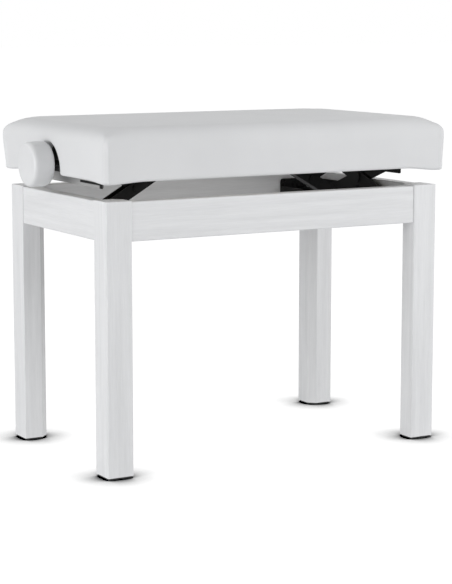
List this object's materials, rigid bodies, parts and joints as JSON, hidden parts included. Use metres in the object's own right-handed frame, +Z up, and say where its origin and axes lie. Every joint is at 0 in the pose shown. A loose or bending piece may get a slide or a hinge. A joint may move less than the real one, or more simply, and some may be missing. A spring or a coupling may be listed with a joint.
{
  "type": "piano bench",
  "caption": "Height-adjustable piano bench: square-legged wooden frame, padded leather seat, steel scissor lift and a side knob.",
  "frame": {"origin": "on the floor, below the centre of the bounding box at the resting seat height", "axes": "+X along the bench away from the knob, +Y towards the rear, +Z up"},
  "size_m": [0.597, 0.34, 0.49],
  "materials": {
    "white_wood": "satin white lacquer",
    "bare_wood": "unfinished",
    "black_rubber": "matte",
    "black_steel": "satin black",
    "zinc_steel": "bright zinc",
    "brass": "machined",
    "black_plastic": "matte",
    "white_plastic": "satin",
    "white_leather": "smooth fine grain",
    "foam": "open foam"
  },
  "bodies": {
    "frame": {"leg_front_left": "white_wood", "foot_pad_front_left": "black_rubber", "leg_front_right": "white_wood", "foot_pad_front_right": "black_rubber", "leg_rear_left": "white_wood", "foot_pad_rear_left": "black_rubber", "leg_rear_right": "white_wood", "foot_pad_rear_right": "black_rubber", "rail_front": "white_wood", "rail_rear": "white_wood", "rail_left": "white_wood", "rail_right": "white_wood", "corner_plate_front_left": "zinc_steel", "corner_bolt_front_left": "zinc_steel", "corner_plate_front_right": "zinc_steel", "corner_bolt_front_right": "zinc_steel", "corner_plate_rear_left": "zinc_steel", "corner_bolt_rear_left": "zinc_steel", "corner_plate_rear_right": "zinc_steel", "corner_bolt_rear_right": "zinc_steel", "lower_bracket_front": "black_steel", "lower_bracket_rear": "black_steel", "foot_bracket_left": "black_steel", "foot_bracket_right": "black_steel"},
    "seat": {"seat_skirt_front": "bare_wood", "seat_skirt_rear": "bare_wood", "seat_skirt_left": "bare_wood", "seat_skirt_right": "bare_wood", "seat_board": "bare_wood", "foam_pad": "foam", "leather_cover": "white_leather", "upper_bracket": "black_steel", "seat_bracket_left": "black_steel", "seat_bracket_right": "black_steel", "shaft_bearing_left": "black_plastic", "shaft_bearing_right": "black_plastic", "notch_plate": "black_steel"},
    "drive": {"knob": "white_plastic", "drive_screw": "black_steel"},
    "nut_left": {"drive_nut_left": "brass"},
    "nut_right": {"drive_nut_right": "brass"},
    "arm_left": {"lift_arm_left": "black_steel", "hub_pin_left": "black_steel"},
    "arm_right": {"lift_arm_right": "black_steel", "hub_pin_right": "black_steel"},
    "link_left": {"seat_link_left": "black_steel"},
    "link_right": {"seat_link_right": "black_steel"},
    "hub": {"scissor_bolt": "black_steel"},
    "arms_a": {"scissor_arm_a": "black_steel", "rod_upper_front": "zinc_steel", "rod_lower_rear": "zinc_steel"},
    "arms_b": {"scissor_arm_b": "black_steel", "rod_upper_rear": "zinc_steel", "rod_lower_front": "zinc_steel"}
  },
  "joints": [
    {"name": "seat_lift", "type": "slide", "parent": "frame", "child": "seat", "axis": [0, 0, 1], "range_m": [-0.021, 0.05]},
    {"name": "knob_turn", "type": "hinge", "parent": "seat", "child": "drive", "pos_m": [0, 0.008, 0.4306], "axis": [1, 0, 0], "range_deg": [-1883.4, 4484.4]},
    {"name": "nut_left_slide", "type": "slide", "parent": "seat", "child": "nut_left", "axis": [1, 0, 0], "range_m": [-0.03737, 0.0157]},
    {"name": "nut_right_slide", "type": "slide", "parent": "seat", "child": "nut_right", "axis": [1, 0, 0], "range_m": [-0.0157, 0.03737]},
    {"name": "arm_left_swing", "type": "hinge", "parent": "frame", "child": "arm_left", "pos_m": [-0.2007, 0.008, 0.349], "axis": [0, 1, 0], "range_deg": [-22, 9.2]},
    {"name": "arm_right_swing", "type": "hinge", "parent": "frame", "child": "arm_right", "pos_m": [0.2467, 0.008, 0.349], "axis": [0, 1, 0], "range_deg": [-9.2, 22]},
    {"name": "link_left_swing", "type": "hinge", "parent": "arm_left", "child": "link_left", "pos_m": [-0.13003, 0.008, 0.3898], "axis": [0, 1, 0], "range_deg": [-18.5, 43.9]},
    {"name": "link_right_swing", "type": "hinge", "parent": "arm_right", "child": "link_right", "pos_m": [0.17603, 0.008, 0.3898], "axis": [0, 1, 0], "range_deg": [-43.9, 18.5]},
    {"name": "hub_lift", "type": "slide", "parent": "frame", "child": "hub", "axis": [0, 0, 1], "range_m": [-0.01061, 0.02525]},
    {"name": "arms_a_swing", "type": "hinge", "parent": "hub", "child": "arms_a", "pos_m": [0, 0, 0.389], "axis": [1, 0, 0], "range_deg": [-14.9, 6.3]},
    {"name": "arms_b_swing", "type": "hinge", "parent": "hub", "child": "arms_b", "pos_m": [0, 0, 0.389], "axis": [1, 0, 0], "range_deg": [-6.3, 14.9]}
  ],
  "couplings": [
    {"joint": "knob_turn", "follows": "seat_lift", "rad_per_m": 1549.9},
    {"joint": "nut_left_slide", "follows": "seat_lift", "ratio": -0.74},
    {"joint": "nut_right_slide", "follows": "seat_lift", "ratio": 0.74},
    {"joint": "arm_left_swing", "follows": "seat_lift", "rad_per_m": -7.592},
    {"joint": "arm_right_swing", "follows": "seat_lift", "rad_per_m": 7.592},
    {"joint": "link_left_swing", "follows": "seat_lift", "rad_per_m": 15.184},
    {"joint": "link_right_swing", "follows": "seat_lift", "rad_per_m": -15.184},
    {"joint": "hub_lift", "follows": "seat_lift", "ratio": 0.5},
    {"joint": "arms_a_swing", "follows": "seat_lift", "rad_per_m": -5.166},
    {"joint": "arms_b_swing", "follows": "seat_lift", "rad_per_m": 5.166}
  ]
}
